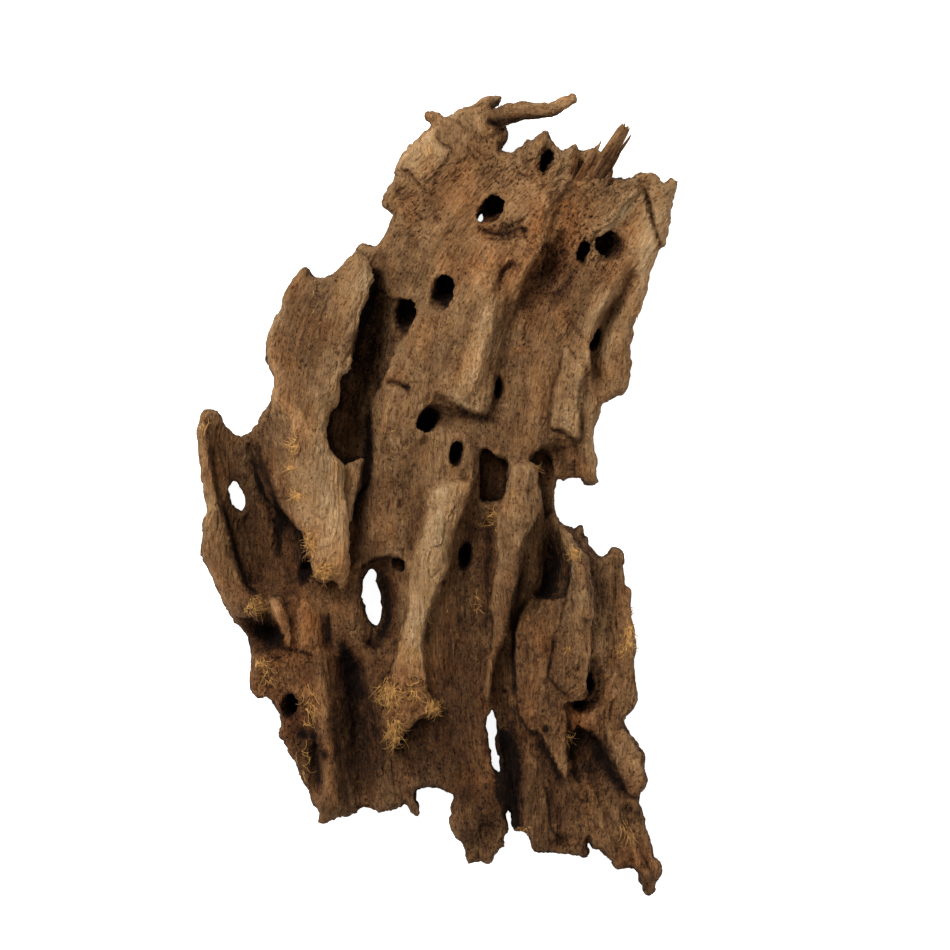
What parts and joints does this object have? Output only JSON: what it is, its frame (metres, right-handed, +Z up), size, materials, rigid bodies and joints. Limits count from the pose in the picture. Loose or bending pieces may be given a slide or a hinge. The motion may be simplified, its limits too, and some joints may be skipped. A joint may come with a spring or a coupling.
{
  "type": "dragon wood",
  "caption": "Weathered root plate of driftwood for a tank or display, pierced by worm bores, with ridges, splintered edges and a branch stub, lying on its back.",
  "frame": {"origin": "on the surface it rests on, under the middle of the bounding box", "axes": "+Y along the piece towards its branch end, +X to the right as seen from above with the branch at the top, +Z up out of its face"},
  "size_m": [0.24, 0.4005, 0.0603],
  "materials": {
    "trunk_wood": "dry weathered root wood, matt",
    "leg_wood": "dry weathered root wood, matt, darker",
    "branch_wood": "dry barkless branch, matt"
  },
  "bodies": {
    "root": {"trunk": "trunk_wood", "right_leg": "leg_wood", "top_branch": "branch_wood"}
  },
  "joints": []
}
